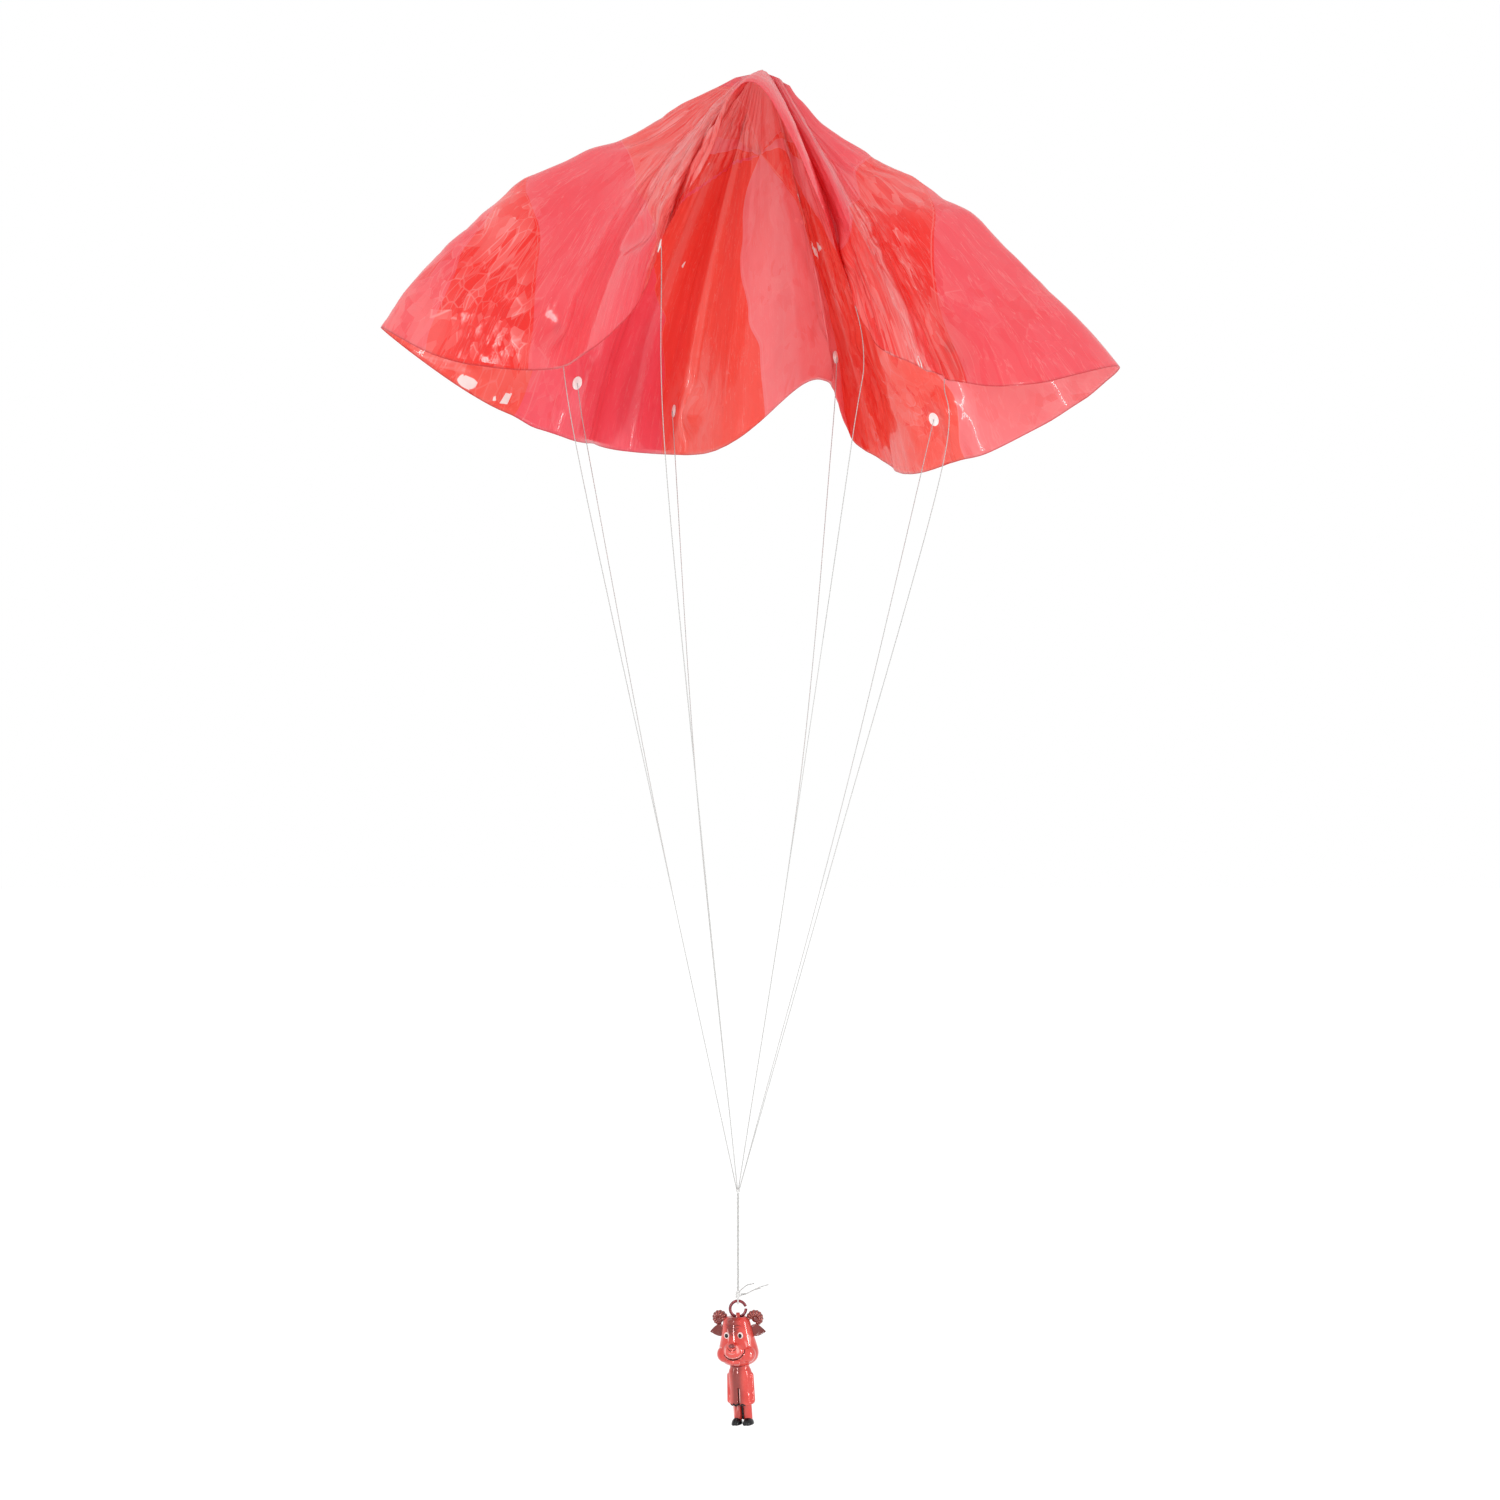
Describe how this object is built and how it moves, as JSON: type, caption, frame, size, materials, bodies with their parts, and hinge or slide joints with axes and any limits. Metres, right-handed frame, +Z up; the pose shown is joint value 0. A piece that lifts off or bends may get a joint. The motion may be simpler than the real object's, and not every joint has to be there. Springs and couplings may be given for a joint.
{
  "type": "toy parachute",
  "caption": "Hanging toy parachute: a round printed film canopy held by its crown, thin strings, an open ring and a small glossy standing ram.",
  "frame": {"origin": "top of the crown, where the canopy is held up", "axes": "+Z up along the hung toy, +X to the viewer's right, -Y to the front, where the canopy opens"},
  "size_m": [0.2947, 0.2269, 0.5401],
  "materials": {
    "film": "thin glossy printed film in red, coral and pink panels, finely wrinkled",
    "dot": "matt white sticker",
    "string": "thin white twisted thread",
    "ring": "dark wine red coated wire",
    "figure": "glossy metallic red lacquer with painted eyes and hooves"
  },
  "bodies": {
    "canopy": {"canopy_film": "film", "string_dot_1": "dot", "string_dot_2": "dot", "string_dot_3": "dot", "string_dot_4": "dot", "string_dot_5": "dot", "string_dot_6": "dot", "string_dot_7": "dot", "string_dot_8": "dot", "string_1": "string", "string_2": "string", "string_3": "string", "string_4": "string", "string_5": "string", "string_6": "string", "string_7": "string", "string_8": "string"},
    "gather": {"gather_knot": "string"},
    "riser": {"riser": "string"},
    "ring_tie": {"ring_knot": "string", "loose_end_1": "string", "loose_end_2": "string", "loose_end_3": "string"},
    "ring": {"hanging_ring": "ring"},
    "figure": {"figure": "figure"}
  },
  "joints": [
    {"name": "side_swing", "type": "hinge", "parent": "canopy", "child": "gather", "pos_m": [-0.01, 0, -0.447], "axis": [0, 1, 0], "range_deg": [-35, 35]},
    {"name": "front_swing", "type": "hinge", "parent": "gather", "child": "riser", "pos_m": [-0.01, 0, -0.447], "axis": [1, 0, 0], "range_deg": [-35, 35]},
    {"name": "spin", "type": "hinge", "parent": "riser", "child": "ring_tie", "pos_m": [-0.01, 0, -0.4873], "axis": [0, 0, 1], "continuous": true},
    {"name": "ring_turn", "type": "hinge", "parent": "ring_tie", "child": "ring", "pos_m": [-0.01, 0, -0.4943], "axis": [0, 1, 0], "range_deg": [-40, 40]},
    {"name": "figure_nod", "type": "hinge", "parent": "ring", "child": "figure", "pos_m": [-0.01, 0, -0.49745], "axis": [1, 0, 0], "range_deg": [-40, 40]}
  ]
}
